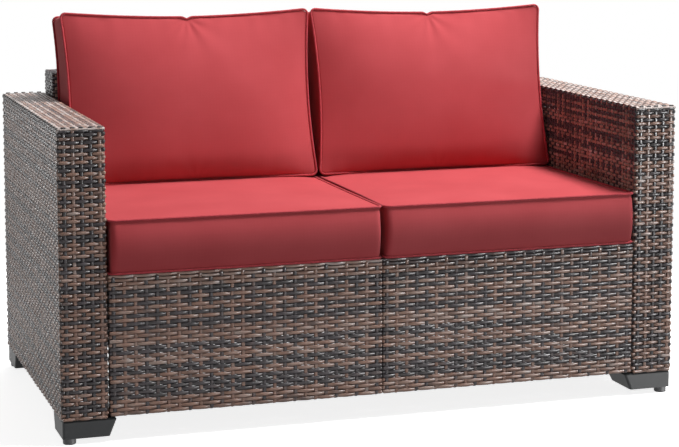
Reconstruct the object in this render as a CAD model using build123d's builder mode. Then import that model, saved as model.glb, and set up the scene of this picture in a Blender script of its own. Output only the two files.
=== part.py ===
from build123d import *
import os

os.makedirs("parts", exist_ok=True)

# Patio loveseat, in millimetres. X runs to the sitter's left as seen from the front (picture right),
# Y runs back and Z up. The origin is on the floor, in the middle of the overall width and depth.

# Overall sizes
overall_width = 1270.0
arm_depth = 684.0
arm_width = 92.0
arm_height = 600.0
deck_height = 319.0
back_height = 648.0
back_thickness = 100.0
cushion_overhang = 7.0

# Woven skins and the gaps where modules meet
weave = 4.0
weave_corner = 8.0
back_corner = 12.0
fit_gap = 0.4
hem = 24.0

# Welded square tubes
tube = 20.0
tube_wall = 1.2
drain_radius = 2.5
cross_tube = 15.0

# Corner feet and levelling glides
foot_length = 104.0
foot_height = 34.0
foot_taper = 14.0
foot_recess = 3.0
foot_wall = 3.0
foot_plate = 5.0
foot_chamfer = 3.0
foot_corner = 5.0
glide_height = 12.0
glide_radius = 12.5
glide_chamfer = 1.5
glide_inset = 18.0
glide_travel = 10.0
stud_radius = 4.0
stud_head_radius = 7.0
stud_head = 3.0
stud_running_gap = 0.05
bush_radius = 6.0
bush_length = 14.0
boss_radius = 9.0

# Fasteners: machine bolts with washers and rivet inserts, and the screws of the feet
bolt_radius = 3.0
bolt_clearance = 0.3
bolt_head_radius = 5.0
bolt_head = 6.0
socket_across = 5.0
socket_depth = 3.0
washer_radius = 8.0
washer = 1.6
insert_radius = 4.5
insert_flange_radius = 6.5
insert_flange = 1.0
insert_length = 12.0
bolt_end_gap = 2.0
screw_radius = 2.0
screw_head_radius = 4.0
screw_head = 2.4
screw_bite = 5.0

# Cushions
seat_cushion_thickness = 100.0
seat_crown = 9.0
cushion_gap = 0.3
piping_radius = 2.5
piping_gap = 0.6
piping_corner = 16.0
seam_bulge = 0.5
seat_plan_bulge = 14.0
cushion_overrun = 6.0
cover_wall = 1.2
core_gap = 0.3
seat_corner = 18.0
seat_side_draw = 4.0
back_cushion_top = 778.0
back_rear_drop = 13.0
back_bottom_depth = 160.0
back_top_depth = 92.0
back_crown = 26.0
back_side_draw = 11.0
back_top_sag = 13.0
back_corner_radius = 12.0
tuck_width = 20.0
tuck_depth = 5.0
tuck_corner = 7.0

# Coil zips
zip_length = 430.0
tape_width = 20.0
coil_width = 5.0
coil_height = 1.0
slider_length = 9.0
slider_width = 8.0
slider_height = 2.1
slider_gap = 0.1

# Places that follow from the sizes
arm_front = cushion_overhang - (arm_depth + cushion_overhang) / 2
arm_back = arm_front + arm_depth
half_width = overall_width / 2
wicker_bottom = foot_height + glide_height
back_front = arm_back - back_thickness
module_outer = half_width - arm_width - fit_gap
module_inner = fit_gap / 2
module_rear = back_front - fit_gap
rail_top = deck_height - weave
rail_low = rail_top - tube
foot_rail_low = wicker_bottom + weave
foot_rail_top = foot_rail_low + tube
sides = (("left", -1), ("right", 1))


def block(corner, opposite, mode=Mode.ADD):
    """A box between two opposite corners, in the builder that calls it."""
    size = [abs(b - a) for a, b in zip(corner, opposite)]
    centre = tuple((a + b) / 2 for a, b in zip(corner, opposite))
    with Locations(centre):
        Box(*size, mode=mode)


def weld_tubes(runs):
    """Square tubes between pairs of corners, welded into one hollow piece."""
    for corner, opposite in runs:
        block(corner, opposite)
    for corner, opposite in runs:
        low = [min(a, b) + tube_wall for a, b in zip(corner, opposite)]
        high = [max(a, b) - tube_wall for a, b in zip(corner, opposite)]
        block(low, high, Mode.SUBTRACT)


def ring_runs(x_low, x_high, y_low, y_high, z_low):
    """Four tube runs round a level rectangle."""
    z_high = z_low + tube
    return [
        ((x_low, y_low, z_low), (x_high, y_low + tube, z_high)),
        ((x_low, y_high - tube, z_low), (x_high, y_high, z_high)),
        ((x_low, y_low, z_low), (x_low + tube, y_high, z_high)),
        ((x_high - tube, y_low, z_low), (x_high, y_high, z_high)),
    ]


def post_runs(x_low, x_high, y_low, y_high, z_low, z_high):
    """Four upright tubes at the corners of a rectangle."""
    return [
        ((x, y, z_low), (x + tube, y + tube, z_high))
        for x in (x_low, x_high - tube)
        for y in (y_low, y_high - tube)
    ]


def save(piece, label):
    """Name a finished piece and write it."""
    piece.part.label = label
    export_step(piece.part, f"parts/{label}.step")


# Bolts. Each lies on a plane at the tube face under its washer, and the plane's normal points
# towards its head. It passes the tube and skin of its own module and bites in an insert beyond.
side_bolt_shares = (0.18, 0.82)
rear_bolt_shares = (0.25, 0.75)
module_depth = module_rear - arm_front
rail_middle = rail_low + tube / 2
foot_rail_middle = foot_rail_low + tube / 2
post_middle_y = arm_front + weave + tube / 2
apron_middle = (foot_rail_low + rail_top) / 2
side_bolt_places = [(arm_front + share * module_depth, rail_middle) for share in side_bolt_shares]
side_bolt_places += [(post_middle_y, apron_middle)]
side_bolt_places += [(back_front + back_thickness / 2, foot_rail_middle)]
bolt_planes = []
for y, z in side_bolt_places:
    for side, sign in sides:
        tube_face = sign * (module_outer - weave - tube)
        bolt_planes.append(Plane(origin=(tube_face, y, z), z_dir=(-sign, 0, 0)))
    bolt_planes.append(Plane(origin=(-module_inner - weave - tube, y, z), z_dir=(-1, 0, 0)))
for side, sign in sides:
    for share in rear_bolt_shares:
        x = sign * (module_inner + share * (module_outer - module_inner))
        rear_face = module_rear - weave - tube
        bolt_planes.append(Plane(origin=(x, rear_face, rail_middle), z_dir=(0, -1, 0)))
near_length = tube + weave
far_skin_length = fit_gap + weave
bolt_length = near_length + far_skin_length + insert_length + bolt_end_gap

with BuildPart() as bolt_passages:
    for plane in bolt_planes:
        with BuildSketch(plane):
            Circle(bolt_radius + bolt_clearance)
        extrude(amount=-near_length - fit_gap)
        with BuildSketch(plane.offset(-near_length)):
            Circle(insert_flange_radius)
        extrude(amount=-far_skin_length)
        with BuildSketch(plane.offset(-near_length - far_skin_length)):
            Circle(insert_radius)
        extrude(amount=-insert_length)

# Feet screws rise through the foot's top plate and the hem into the lowest tubes of each arm
screw_along_share = 0.75
corners = [
    (f"{end}_{side}", sign, depth_sign)
    for end, depth_sign in (("front", 1), ("rear", -1))
    for side, sign in sides
]


def corner_point(sign, depth_sign, across, along, height):
    """A point measured inwards from an outer corner of the arms."""
    start_y = arm_front if depth_sign > 0 else arm_back
    return (sign * (half_width - across), start_y + depth_sign * along, height)


foot_rail_inset = weave + tube / 2
screw_along = screw_along_share * (foot_length - foot_taper)
screw_places = [(foot_rail_inset, screw_along), (screw_along, foot_rail_inset)]
screw_length = foot_plate + weave + screw_bite

with BuildPart() as screw_passages:
    for name, sign, depth_sign in corners:
        for across, along in screw_places:
            base = corner_point(sign, depth_sign, across, along, wicker_bottom - foot_plate)
            with BuildSketch(Plane.XY.offset(base[2])):
                with Locations(base[:2]):
                    Circle(screw_radius)
            extrude(amount=screw_length)


# Arms: a welded tube frame inside a woven box that is open below between its turned-in hems
arm_rail_share = 0.5
for side, sign in sides:
    x_low, x_high = sorted((sign * (half_width - weave), sign * (half_width - arm_width + weave)))
    y_low, y_high = arm_front + weave, arm_back - weave
    tube_top = arm_height - weave
    runs = ring_runs(x_low, x_high, y_low, y_high, foot_rail_low)
    runs += ring_runs(x_low, x_high, y_low, y_high, tube_top - tube)
    runs += post_runs(x_low, x_high, y_low, y_high, foot_rail_low, tube_top)
    inner_post_x = sign * (half_width - arm_width + weave)
    inner_post_face = inner_post_x + sign * tube
    runs += [((inner_post_x, y_low, rail_low), (inner_post_face, y_high, rail_top))]
    middle_y = y_low + arm_rail_share * (y_high - y_low)
    for x in (x_low, x_high - tube):
        middle_post = (x, middle_y - tube / 2, foot_rail_low)
        runs += [(middle_post, (x + tube, middle_y + tube / 2, tube_top))]
    with BuildPart() as arm_frame:
        weld_tubes(runs)
        with Locations([(x, middle_y, foot_rail_low) for x in (x_low + tube / 2, x_high - tube / 2)]):
            Cylinder(drain_radius, tube, mode=Mode.SUBTRACT)
        add(bolt_passages.part, mode=Mode.SUBTRACT)
        add(screw_passages.part, mode=Mode.SUBTRACT)
    save(arm_frame, f"{side}_arm_frame")

    outer_x, inner_x = sign * half_width, sign * (half_width - arm_width)
    with BuildPart() as arm_wicker:
        block((outer_x, arm_front, wicker_bottom), (inner_x, arm_back, arm_height))
        rounded = arm_wicker.edges() - arm_wicker.edges().group_by(Axis.Z)[0]
        fillet(rounded, weave_corner)
        block((x_low, y_low, foot_rail_low), (x_high, y_high, tube_top), Mode.SUBTRACT)
        hem_low = (x_low + hem, y_low + hem, wicker_bottom)
        hem_high = (x_high - hem, y_high - hem, foot_rail_top)
        block(hem_low, hem_high, Mode.SUBTRACT)
        add(bolt_passages.part, mode=Mode.SUBTRACT)
        add(screw_passages.part, mode=Mode.SUBTRACT)
    save(arm_wicker, f"{side}_arm_wicker")

# Seat modules: a deck ring on a front apron, with cross tubes under the woven deck
cross_tube_shares = (0.33, 0.67)
for side, sign in sides:
    x_low, x_high = sorted((sign * (module_inner + weave), sign * (module_outer - weave)))
    y_low, y_high = arm_front + weave, module_rear - weave
    runs = ring_runs(x_low, x_high, y_low, y_high, rail_low)
    bottom_corner = (x_low, y_low, foot_rail_low)
    runs += [(bottom_corner, (x_high, y_low + tube, foot_rail_top))]
    for x in (x_low, (x_low + x_high - tube) / 2, x_high - tube):
        runs += [((x, y_low, foot_rail_low), (x + tube, y_low + tube, rail_top))]
    cross_low = rail_top - cross_tube
    for share in cross_tube_shares:
        y = y_low + share * (y_high - y_low)
        runs += [((x_low, y - cross_tube / 2, cross_low), (x_high, y + cross_tube / 2, rail_top))]
    drains = [(x, y_low + tube / 2, foot_rail_low) for x in (x_low + tube, x_high - tube)]
    with BuildPart() as seat_frame:
        weld_tubes(runs)
        with Locations(drains):
            Cylinder(drain_radius, tube, mode=Mode.SUBTRACT)
        add(bolt_passages.part, mode=Mode.SUBTRACT)
    save(seat_frame, f"{side}_seat_frame")

    inner_x, outer_x = sign * module_inner, sign * module_outer
    hem_z = deck_height - weave - hem
    with BuildPart() as seat_wicker:
        block((inner_x, arm_front, hem_z), (outer_x, module_rear, deck_height))
        block((inner_x, arm_front, wicker_bottom), (outer_x, arm_front + weave + hem, deck_height))
        front_edges = seat_wicker.edges().filter_by(Axis.X).group_by(Axis.Y)[0]
        fillet(front_edges.sort_by(Axis.Z)[-1], weave_corner)
        block((x_low, y_low, hem_z), (x_high, y_high, rail_top), Mode.SUBTRACT)
        block((x_low, y_low, foot_rail_low), (x_high, y_low + weave + hem, rail_top), Mode.SUBTRACT)
        add(bolt_passages.part, mode=Mode.SUBTRACT)
    save(seat_wicker, f"{side}_seat_wicker")

# Back panels: full-height woven boxes, open below between their hems, bolted behind the decks
for side, sign in sides:
    x_low, x_high = sorted((sign * (module_inner + weave), sign * (module_outer - weave)))
    y_low, y_high = back_front + weave, arm_back - weave
    tube_top = back_height - weave
    runs = ring_runs(x_low, x_high, y_low, y_high, foot_rail_low)
    runs += ring_runs(x_low, x_high, y_low, y_high, tube_top - tube)
    runs += post_runs(x_low, x_high, y_low, y_high, foot_rail_low, tube_top)
    runs += [((x_low, y_low, rail_low), (x_high, y_low + tube, rail_top))]
    runs += [((x_low, y_high - tube, rail_low), (x_high, y_high, rail_top))]
    drains = [(x, y_low + tube / 2, foot_rail_low) for x in (x_low + tube, x_high - tube)]
    with BuildPart() as back_frame:
        weld_tubes(runs)
        with Locations(drains):
            Cylinder(drain_radius, tube, mode=Mode.SUBTRACT)
        add(bolt_passages.part, mode=Mode.SUBTRACT)
    save(back_frame, f"{side}_back_frame")

    inner_x, outer_x = sign * module_inner, sign * module_outer
    with BuildPart() as back_wicker:
        block((inner_x, back_front, wicker_bottom), (outer_x, arm_back, back_height))
        top_edges = back_wicker.edges().group_by(Axis.Z)[-1]
        end_edge = top_edges.filter_by(Axis.Y).sort_by(Axis.X)[0 if sign < 0 else -1]
        fillet(end_edge, back_corner)
        long_edges = back_wicker.edges().group_by(Axis.Z)[-1].filter_by(Axis.X)
        fillet(long_edges, weave_corner)
        block((x_low, y_low, foot_rail_low), (x_high, y_high, tube_top), Mode.SUBTRACT)
        hem_low = (x_low + hem, y_low + hem, wicker_bottom)
        hem_high = (x_high - hem, y_high - hem, foot_rail_top)
        block(hem_low, hem_high, Mode.SUBTRACT)
        add(bolt_passages.part, mode=Mode.SUBTRACT)
    save(back_wicker, f"{side}_back_wicker")

# Bolts, washers and rivet inserts, each kind one group
with BuildPart() as frame_bolts:
    for plane in bolt_planes:
        with BuildSketch(plane.offset(washer)):
            Circle(bolt_radius)
        extrude(amount=-washer - bolt_length)
        with BuildSketch(plane.offset(washer)):
            Circle(bolt_head_radius)
        extrude(amount=bolt_head)
        with BuildSketch(plane.offset(washer + bolt_head)):
            RegularPolygon(socket_across / 2, 6, major_radius=False)
        extrude(amount=-socket_depth, mode=Mode.SUBTRACT)
save(frame_bolts, "frame_bolts")

with BuildPart() as bolt_washers:
    for plane in bolt_planes:
        with BuildSketch(plane):
            Circle(washer_radius)
            Circle(bolt_radius + bolt_clearance, mode=Mode.SUBTRACT)
        extrude(amount=washer)
save(bolt_washers, "bolt_washers")

with BuildPart() as rivet_inserts:
    for plane in bolt_planes:
        bearing = plane.offset(-near_length - far_skin_length)
        with BuildSketch(bearing):
            Circle(insert_flange_radius)
            Circle(bolt_radius, mode=Mode.SUBTRACT)
        extrude(amount=insert_flange)
        with BuildSketch(bearing):
            Circle(insert_radius)
            Circle(bolt_radius, mode=Mode.SUBTRACT)
        extrude(amount=-insert_length)
save(rivet_inserts, "rivet_inserts")

# Corner feet: tapered moulded shells with a boss for the glide's bush
foot_top = wicker_bottom


def foot_rectangle(sign, depth_sign, length, shrink):
    """A rounded square set in from an outer corner of the arms, in the sketch that calls it."""
    middle = foot_recess + length / 2
    centre = corner_point(sign, depth_sign, middle, middle, foot_top)
    with Locations(centre[:2]):
        RectangleRounded(length - shrink, length - shrink, foot_corner - shrink / 2)


for name, sign, depth_sign in corners:
    glide_centre = corner_point(sign, depth_sign, glide_inset, glide_inset, foot_top)[:2]
    with BuildPart() as foot:
        with BuildSketch(Plane.XY.offset(foot_top)):
            foot_rectangle(sign, depth_sign, foot_length, 0)
        with BuildSketch(Plane.XY.offset(glide_height)):
            foot_rectangle(sign, depth_sign, foot_length - foot_taper, 0)
        loft()
        chamfer(foot.edges().group_by(Axis.Z)[-1], foot_chamfer)
        with BuildSketch(Plane.XY.offset(foot_top - foot_plate)):
            foot_rectangle(sign, depth_sign, foot_length, foot_wall + foot_wall)
        with BuildSketch(Plane.XY.offset(glide_height)):
            foot_rectangle(sign, depth_sign, foot_length - foot_taper, foot_wall + foot_wall)
        loft(mode=Mode.SUBTRACT)
        with BuildSketch(Plane.XY.offset(glide_height)):
            with Locations(glide_centre):
                Circle(boss_radius)
        extrude(amount=foot_height - foot_plate)
        with BuildSketch(Plane.XY.offset(glide_height)):
            with Locations(glide_centre):
                Circle(bush_radius)
        extrude(amount=foot_height - foot_plate, mode=Mode.SUBTRACT)
        add(screw_passages.part, mode=Mode.SUBTRACT)
    save(foot, f"{name}_foot")

    with BuildPart() as glide_pad:
        with BuildSketch(Plane.XY):
            with Locations(glide_centre):
                Circle(glide_radius)
        extrude(amount=glide_height)
        chamfer(glide_pad.edges().group_by(Axis.Z)[0], glide_chamfer)
        with BuildSketch(Plane.XY.offset(glide_height)):
            with Locations(glide_centre):
                Circle(stud_radius)
        extrude(amount=-glide_height / 2, mode=Mode.SUBTRACT)
        with BuildSketch(Plane.XY.offset(glide_height / 2)):
            with Locations(glide_centre):
                Circle(stud_head_radius)
        extrude(amount=-stud_head, mode=Mode.SUBTRACT)
    save(glide_pad, f"{name}_glide_pad")

    with BuildPart() as glide_stud:
        with BuildSketch(Plane.XY.offset(glide_height / 2)):
            with Locations(glide_centre):
                Circle(stud_head_radius)
        extrude(amount=-stud_head)
        with BuildSketch(Plane.XY.offset(glide_height / 2)):
            with Locations(glide_centre):
                Circle(stud_radius)
        extrude(amount=glide_height / 2 + glide_travel + bush_length)
    save(glide_stud, f"{name}_glide_stud")

with BuildPart() as glide_bushes:
    for name, sign, depth_sign in corners:
        glide_centre = corner_point(sign, depth_sign, glide_inset, glide_inset, foot_top)[:2]
        with BuildSketch(Plane.XY.offset(glide_height)):
            with Locations(glide_centre):
                Circle(bush_radius)
                Circle(stud_radius + stud_running_gap, mode=Mode.SUBTRACT)
        extrude(amount=bush_length)
save(glide_bushes, "glide_bushes")

with BuildPart() as foot_screws:
    for name, sign, depth_sign in corners:
        for across, along in screw_places:
            base = corner_point(sign, depth_sign, across, along, wicker_bottom - foot_plate)
            with BuildSketch(Plane.XY.offset(base[2])):
                with Locations(base[:2]):
                    Circle(screw_radius)
            extrude(amount=screw_length)
            with BuildSketch(Plane.XY.offset(base[2])):
                with Locations(base[:2]):
                    Circle(screw_head_radius)
            extrude(amount=-screw_head)
save(foot_screws, "foot_screws")

# Cushions. Every piece of a cushion is built about the middle of the width and then placed on
# the left and on the right. The cords of the piping lie just outside the seams of the cover.
cord_offset = piping_radius + piping_gap
cord_reach = cord_offset + piping_radius
cushion_inner = cushion_gap + cord_reach
cushion_outer = half_width - arm_width - cushion_gap - cord_reach
cushion_half = (cushion_outer - cushion_inner) / 2
cushion_middle = (cushion_outer + cushion_inner) / 2
zip_half = zip_length / 2
half_share = 0.5


def save_both(piece, label):
    """Write one piece of a cushion at the left place and at the right place."""
    for side, sign in sides:
        placed = piece.part.moved(Location((sign * cushion_middle, 0, 0)))
        placed.label = f"{side}_{label}"
        export_step(placed, f"parts/{side}_{label}.step")


def corded_ring(outline):
    """A round cord along the outline of a flat shape, in the part that calls it."""
    seam = outline.face().outer_wire()
    start = seam.edges().sort_by(SortBy.LENGTH)[-1]
    with BuildSketch(Plane(origin=start @ half_share, z_dir=start % half_share)) as section:
        Circle(piping_radius)
    sweep(section.sketch, path=seam)


# Seat cushions. Each section across the width has a flat bottom, a puffed front between two
# upright lands for the cords, a crown that climbs to a ridge, and a gentle fall to the rear. The
# plan outline then rounds the corners and draws the sides in between them.
place_shares = (0, 0.14, 0.5, 0.86, 1)
rise_shares = (0.12, 0.6, 1, 0.6, 0.12)
ridge_share = 0.36
near_share = 0.5
near_lift_share = 0.72
seat_low = deck_height + cushion_gap
seat_high = seat_low + piping_radius + seat_cushion_thickness
seat_front = arm_front
seat_rear = back_front - cushion_gap - cord_reach
ridge_y = seat_front + ridge_share * (seat_rear - seat_front)


def seat_plan(inset, height, corner, bulge):
    """The plan outline of a seat cushion at a height, with its front bulged forward."""
    right, front, rear = cushion_half - inset, seat_front + inset, seat_rear - inset
    side_x, middle_y = right - seat_side_draw, (front + rear) / 2
    with BuildSketch(Plane.XY.offset(height)) as plan:
        with BuildLine():
            ThreePointArc((-right, front), (0, front - bulge), (right, front))
            ThreePointArc((right, front), (side_x, middle_y), (right, rear))
            Line((right, rear), (-right, rear))
            ThreePointArc((-right, rear), (-side_x, middle_y), (-right, front))
        make_face()
        fillet(plan.vertices(), corner)
    return plan.sketch


def seat_form(inset):
    """A seat cushion's solid, smaller all round by the inset, in the part that calls it."""
    front, low, high = seat_front + inset, seat_low + inset, seat_high - inset
    land_low, land_high = low + piping_radius + piping_radius, high - piping_radius
    near_y = front + near_share * (ridge_y - front)
    rear = seat_rear + cushion_overrun
    half_span = cushion_half + cushion_overrun
    sections = []
    for place, rise in zip(place_shares, rise_shares):
        crown = high + rise * seat_crown
        near_z = high + near_lift_share * rise * seat_crown
        rear_z = crown - rise * seat_crown * (rear - ridge_y) / (seat_rear - ridge_y)
        puff = front - rise * cushion_overhang
        with BuildSketch(Plane.YZ.offset((place + place - 1) * half_span)) as section:
            with BuildLine():
                Line((front, low), (rear, low))
                Line((rear, low), (rear, rear_z))
                Line((rear, rear_z), (ridge_y, crown))
                ThreePointArc((ridge_y, crown), (near_y, near_z), (front, high))
                Line((front, high), (front, land_high))
                ThreePointArc((front, land_high), (puff, (low + high) / 2), (front, land_low))
                Line((front, land_low), (front, low))
            make_face()
        sections.append(section.sketch)
    loft(sections)
    plan = seat_plan(inset, seat_low - cushion_overrun, seat_corner - inset, seat_plan_bulge)
    extrude(plan, amount=seat_cushion_thickness + seat_cushion_thickness, mode=Mode.INTERSECT)


middle_z = (seat_low + seat_high) / 2
tape_low = (-zip_half, seat_rear - cover_wall, middle_z - tape_width / 2)
tape_high = (zip_half, seat_rear, middle_z + tape_width / 2)
coil_low = (-zip_half, seat_rear - cover_wall, middle_z - coil_width / 2)
coil_high = (zip_half, seat_rear + coil_height, middle_z + coil_width / 2)
slider_low = (-zip_half, seat_rear + slider_gap, middle_z - slider_width / 2)
slider_high = (slider_length - zip_half, seat_rear + slider_height, middle_z + slider_width / 2)
channel_low = (-zip_half, seat_rear, coil_low[2] - slider_gap)
channel_high = (slider_high[0], coil_high[1] + slider_gap, coil_high[2] + slider_gap)

with BuildPart() as seat_piping:
    for height in (seat_low + piping_radius, seat_high):
        corded_ring(seat_plan(-cord_offset, height, piping_corner, seam_bulge))
save_both(seat_piping, "seat_piping")

with BuildPart() as seat_hollow:
    seat_form(cover_wall)
with BuildPart() as seat_cover:
    seat_form(0)
    add(seat_hollow.part, mode=Mode.SUBTRACT)
    block(tape_low, tape_high, Mode.SUBTRACT)
save_both(seat_cover, "seat_cover")

with BuildPart() as seat_core:
    seat_form(cover_wall + core_gap)
save_both(seat_core, "seat_core")

with BuildPart() as seat_zip:
    block(tape_low, tape_high)
    block(coil_low, coil_high)
save_both(seat_zip, "seat_zip")

with BuildPart() as seat_slider:
    block(slider_low, slider_high)
    fillet(seat_slider.edges().filter_by(Axis.Y), coil_height)
    block(channel_low, channel_high, Mode.SUBTRACT)
save_both(seat_slider, "seat_slider")

# Back cushions. A box-edged body runs between an upright rear seam at the panel and a front seam
# that leans back and stands higher. Both seams draw in at the sides and sag along the top to a
# sewn tuck, and the front swells forward in a crown.
crown_inset_shares = (0.06, 0.2, 0.37)
crown_rise_shares = (0.38, 0.8, 1)
crown_fade_shares = (0.8, 0.5, 0.2)
crown_corner_share = 0.2
sag_half_share = 0.72
cushion_rear = back_front - cushion_gap - piping_radius
rest_y = cushion_rear - back_bottom_depth
rest_fall = seat_crown * (rest_y - ridge_y) / (seat_rear - ridge_y)
cushion_low = seat_high + seat_crown - rest_fall + cushion_gap + cord_reach
lean = (back_bottom_depth - back_top_depth) / (back_cushion_top - cushion_low)
lean_stretch = (1 + lean * lean) ** 0.5
front_seam = Plane(origin=(0, rest_y, cushion_low), x_dir=(1, 0, 0), z_dir=(0, -1, lean))
rear_seam = Plane(origin=(0, cushion_rear, cushion_low), x_dir=(1, 0, 0), z_dir=(0, -1, 0))


def back_outline(plane, height, inset, corner, fade):
    """A back cushion's outline on a plane, with its top sag and tuck faded to a share."""
    right, low, high = cushion_half - inset, inset, height - inset
    side_x, middle_v = right - back_side_draw, (low + high) / 2
    edge_x, edge_v = tuck_width / 2, high - fade * back_top_sag
    half_x = edge_x + half_share * (right - edge_x)
    half_v = high - sag_half_share * fade * back_top_sag
    tuck_v = edge_v - fade * tuck_depth
    with BuildSketch(plane) as outline:
        with BuildLine():
            Line((-right, low), (right, low))
            ThreePointArc((right, low), (side_x, middle_v), (right, high))
            ThreePointArc((right, high), (half_x, half_v), (edge_x, edge_v))
            Line((edge_x, edge_v), (0, tuck_v))
            Line((0, tuck_v), (-edge_x, edge_v))
            ThreePointArc((-edge_x, edge_v), (-half_x, half_v), (-right, high))
            ThreePointArc((-right, high), (-side_x, middle_v), (-right, low))
        make_face()
        for place in ((-edge_x, edge_v), (0, tuck_v), (edge_x, edge_v)):
            fillet(outline.vertices().sort_by_distance(place)[0], tuck_corner)
        columns = outline.vertices().group_by(Axis.X)
        fillet(columns[0] + columns[-1], corner)
    return outline.sketch


front_height = (back_cushion_top - cushion_low) * lean_stretch
rear_height = back_cushion_top - back_rear_drop - cushion_low


def back_form(inset):
    """A back cushion's solid, smaller all round by the inset, in the part that calls it."""
    corner = back_corner_radius - inset
    rear = back_outline(rear_seam.offset(inset), rear_height, inset, corner, 1)
    front = back_outline(front_seam.offset(-inset), front_height, inset, corner, 1)
    loft([rear, front], ruled=True)
    sections = [front]
    for share, rise_share, fade in zip(crown_inset_shares, crown_rise_shares, crown_fade_shares):
        further = share * front_height
        plane = front_seam.offset(rise_share * back_crown - inset)
        rounded = corner + crown_corner_share * further
        sections.append(back_outline(plane, front_height, inset + further, rounded, fade))
    loft(sections)


middle_y = (rest_y + cushion_rear) / 2
tape_low = (-zip_half, middle_y - tape_width / 2, cushion_low)
tape_high = (zip_half, middle_y + tape_width / 2, cushion_low + cover_wall)
coil_low = (-zip_half, middle_y - coil_width / 2, cushion_low - coil_height)
coil_high = (zip_half, middle_y + coil_width / 2, cushion_low + cover_wall)
slider_low = (-zip_half, middle_y - slider_width / 2, cushion_low - slider_height)
slider_high = (slider_length - zip_half, middle_y + slider_width / 2, cushion_low - slider_gap)
channel_low = (-zip_half, coil_low[1] - slider_gap, coil_low[2] - slider_gap)
channel_high = (slider_high[0], coil_high[1] + slider_gap, cushion_low)

with BuildPart() as back_piping:
    for plane, height in ((front_seam, front_height), (rear_seam, rear_height)):
        corded_ring(back_outline(plane, height, -cord_offset, back_corner_radius + cord_offset, 1))
save_both(back_piping, "back_piping")

with BuildPart() as back_hollow:
    back_form(cover_wall)
with BuildPart() as back_cover:
    back_form(0)
    add(back_hollow.part, mode=Mode.SUBTRACT)
    block(tape_low, tape_high, Mode.SUBTRACT)
save_both(back_cover, "back_cover")

with BuildPart() as back_core:
    back_form(cover_wall + core_gap)
save_both(back_core, "back_core")

with BuildPart() as back_zip:
    block(tape_low, tape_high)
    block(coil_low, coil_high)
save_both(back_zip, "back_zip")

with BuildPart() as back_slider:
    block(slider_low, slider_high)
    fillet(back_slider.edges().filter_by(Axis.Z), coil_height)
    block(channel_low, channel_high, Mode.SUBTRACT)
save_both(back_slider, "back_slider")
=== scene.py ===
# Patio loveseat: two woven arms, two seat modules and two back panels bolted together on four
# moulded corner feet, with two box seat cushions and two box back cushions. The scene is in metres;
# sizes written in millimetres are turned by mm().
import math
import bpy
import numpy as np
from mathutils import Matrix, Vector


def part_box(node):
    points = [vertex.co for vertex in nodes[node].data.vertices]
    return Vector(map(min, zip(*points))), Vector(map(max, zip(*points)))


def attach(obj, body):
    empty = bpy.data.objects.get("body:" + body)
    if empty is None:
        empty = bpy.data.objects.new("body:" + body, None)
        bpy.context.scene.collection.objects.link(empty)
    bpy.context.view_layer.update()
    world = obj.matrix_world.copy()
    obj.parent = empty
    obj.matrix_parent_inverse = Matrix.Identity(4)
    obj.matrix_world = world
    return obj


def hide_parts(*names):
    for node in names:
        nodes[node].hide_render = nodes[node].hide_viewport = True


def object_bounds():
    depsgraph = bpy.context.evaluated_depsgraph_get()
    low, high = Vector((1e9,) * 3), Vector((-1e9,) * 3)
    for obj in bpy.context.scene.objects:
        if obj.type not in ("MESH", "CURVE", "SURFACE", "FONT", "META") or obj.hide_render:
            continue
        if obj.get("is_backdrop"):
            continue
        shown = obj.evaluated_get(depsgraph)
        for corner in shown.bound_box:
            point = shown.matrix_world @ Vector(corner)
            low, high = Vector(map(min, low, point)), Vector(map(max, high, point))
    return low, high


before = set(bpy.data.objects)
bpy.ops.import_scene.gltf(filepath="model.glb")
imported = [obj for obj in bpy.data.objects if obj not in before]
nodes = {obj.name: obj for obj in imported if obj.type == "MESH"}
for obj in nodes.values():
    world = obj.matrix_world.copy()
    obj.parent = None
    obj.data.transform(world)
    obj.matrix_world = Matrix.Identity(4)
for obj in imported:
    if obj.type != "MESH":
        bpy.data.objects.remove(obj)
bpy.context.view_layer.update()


# The camera. A long lens about a metre up at the front left of the loveseat, as in its product
# photograph: the place and the way of looking were worked out from the real piece's edges.
scene = bpy.context.scene
lens_mm, frame_mm = 103.33, 36.0
lens_shift = (-0.0427, -0.1520)
stand = (-1.2371, -3.8806, 1.0203)
right_way = (0.94659, -0.32243, 0.00089)
up_way = (0.03580, 0.10785, 0.99352)
back_way = (-0.32044, -0.94043, 0.11363)
lens = bpy.data.cameras.new("product_lens")
lens.lens, lens.sensor_width, lens.sensor_fit = lens_mm, frame_mm, "HORIZONTAL"
lens.shift_x, lens.shift_y = lens_shift
camera = bpy.data.objects.new("product_camera", lens)
scene.collection.objects.link(camera)
ways = [(*way, 0) for way in (right_way, up_way, back_way)]
camera.matrix_world = Matrix((*ways, (*stand, 1))).transposed()
scene.camera = camera


# The studio. A white sweep of painted board under soft lamps: a broad one overhead, weak fills at
# the front, left and rear that light without a glint, and two strips, lower than the arms' tops,
# that only put glints on the weave.
def linear(code, alpha=1.0):
    """An sRGB hex colour as the linear one that shaders take."""
    parts = [int(code[at:at + 2], 16) / 255 for at in (0, 2, 4)]
    return (*(p / 12.92 if p <= 0.04045 else ((p + 0.055) / 1.055) ** 2.4 for p in parts), alpha)


def add_node(tree, kind, links=(), stops=(), **settings):
    """One shader node, with its settings, the stops of its ramp, and its inputs set or linked."""
    made = tree.nodes.new("ShaderNode" + kind)
    for name, value in settings.items():
        setattr(made, name, value)
    for name, value in dict(links).items():
        if isinstance(value, bpy.types.NodeSocket):
            tree.links.new(value, made.inputs[name])
        else:
            made.inputs[name].default_value = value
    if stops:
        ramp = made.color_ramp
        while len(ramp.elements) < len(stops):
            ramp.elements.new(0.5)
        for element, (place, code) in zip(ramp.elements, stops):
            element.position, element.color = place, linear(code)
    return made


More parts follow.
